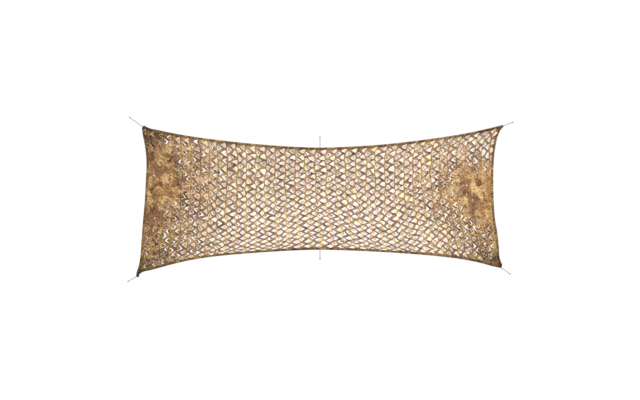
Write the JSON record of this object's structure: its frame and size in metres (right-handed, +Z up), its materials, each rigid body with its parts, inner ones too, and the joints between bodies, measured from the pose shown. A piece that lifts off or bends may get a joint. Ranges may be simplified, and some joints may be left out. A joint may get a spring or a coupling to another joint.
{
  "type": "camouflage netting",
  "caption": "Long leaf-cut cloth net in sand, tan and brown camouflage, bound with tape round its edge and pulled taut by tie cords at its corners and middles.",
  "frame": {"origin": "outer edge of the top binding, halfway along the net, where the middle cord pulls on it", "axes": "X along the net, Z up, the front of the net faces -Y"},
  "size_m": [4.2956, 0.1165, 1.8381],
  "materials": {
    "net_cloth": "matt woven polyester printed with sand, tan, ochre and brown camouflage patches",
    "binding_tape": "matt folded tape of the same printed cloth, stitched along its lip",
    "cord_yarn": "dull grey-green braided cord"
  },
  "bodies": {
    "root": {"net_panel": "net_cloth", "binding_top": "binding_tape", "binding_bottom": "binding_tape", "binding_left": "binding_tape", "binding_right": "binding_tape", "cord_top_left": "cord_yarn", "cord_top_middle": "cord_yarn", "cord_top_right": "cord_yarn", "cord_bottom_left": "cord_yarn", "cord_bottom_middle": "cord_yarn", "cord_bottom_right": "cord_yarn"}
  },
  "joints": []
}
